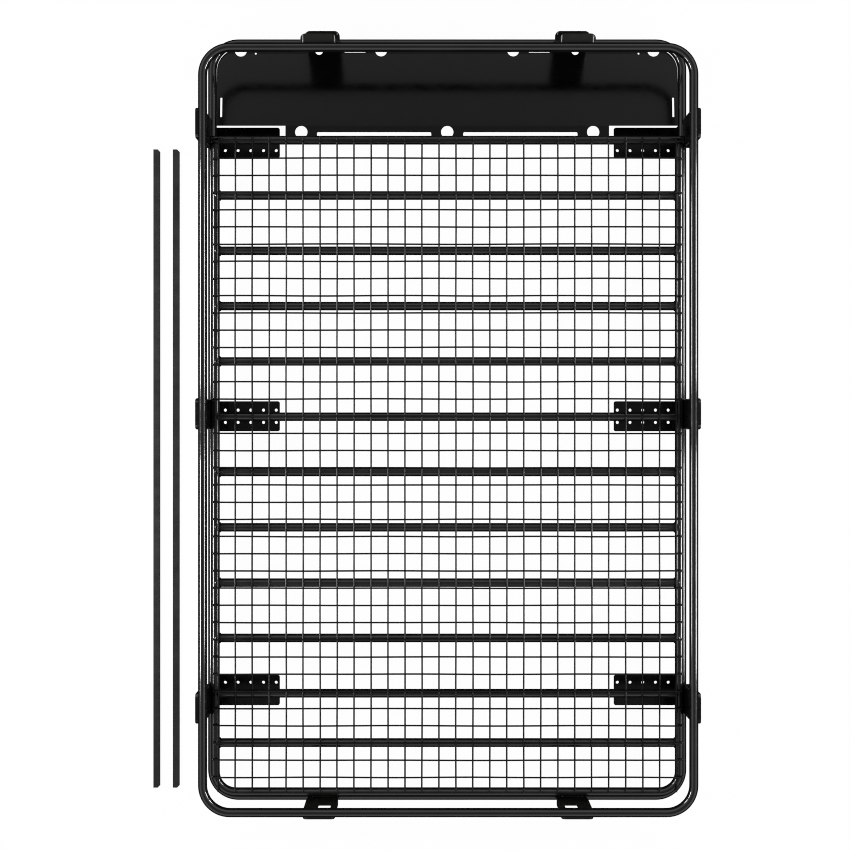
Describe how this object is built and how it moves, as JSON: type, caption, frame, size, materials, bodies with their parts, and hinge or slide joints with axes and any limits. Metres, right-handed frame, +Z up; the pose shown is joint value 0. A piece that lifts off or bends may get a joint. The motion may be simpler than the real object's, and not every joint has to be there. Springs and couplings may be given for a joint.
{
  "type": "vehicle roof rack",
  "caption": "Welded tubular steel roof rack basket with mesh floor, crossbars, front wind deflector, perforated mounting feet and loose flat strips.",
  "frame": {"origin": "centre of the whole kit's footprint on the ground, loose strips included; the rack's own centre line lies 83.5 mm towards +X", "axes": "+Y towards the vehicle's front, +X to its right, +Z up"},
  "size_m": [1.613, 2.2914, 0.2303],
  "materials": {
    "rail_coat": "satin-gloss black powder coat on round steel tube",
    "floor_coat": "satin black powder coat",
    "mesh_coat": "satin black powder coat on welded wire",
    "deflector_coat": "smooth satin black powder coat on folded sheet",
    "upright_coat": "satin black powder coat on pressed sheet",
    "foot_coat": "satin black powder coat on folded plate",
    "strip_coat": "matt dark grey coat on flat strip"
  },
  "bodies": {
    "rack": {"upper_rail": "rail_coat", "lower_rail": "rail_coat", "floor_frame": "floor_coat", "crossbar_01": "floor_coat", "crossbar_02": "floor_coat", "crossbar_03": "floor_coat", "crossbar_04": "floor_coat", "crossbar_05": "floor_coat", "crossbar_06": "floor_coat", "crossbar_07": "floor_coat", "crossbar_08": "floor_coat", "crossbar_09": "floor_coat", "crossbar_10": "floor_coat", "crossbar_11": "floor_coat", "crossbar_12": "floor_coat", "floor_mesh": "mesh_coat", "wind_deflector": "deflector_coat", "side_upright_front_left": "upright_coat", "side_upright_front_right": "upright_coat", "side_upright_middle_left": "upright_coat", "side_upright_middle_right": "upright_coat", "side_upright_rear_left": "upright_coat", "side_upright_rear_right": "upright_coat", "rear_upright_left": "upright_coat", "rear_upright_right": "upright_coat", "front_upright_left": "upright_coat", "front_upright_right": "upright_coat", "foot_front_left": "foot_coat", "foot_front_right": "foot_coat", "foot_middle_left": "foot_coat", "foot_middle_right": "foot_coat", "foot_rear_left": "foot_coat", "foot_rear_right": "foot_coat"},
    "strip_outer": {"loose_strip_outer": "strip_coat"},
    "strip_inner": {"loose_strip_inner": "strip_coat"}
  },
  "joints": [
    {"name": "strip_outer_lift", "type": "slide", "parent": "rack", "child": "strip_outer", "axis": [0, 0, 1], "range_m": [0, 0.3]},
    {"name": "strip_inner_lift", "type": "slide", "parent": "rack", "child": "strip_inner", "axis": [0, 0, 1], "range_m": [0, 0.3]}
  ]
}
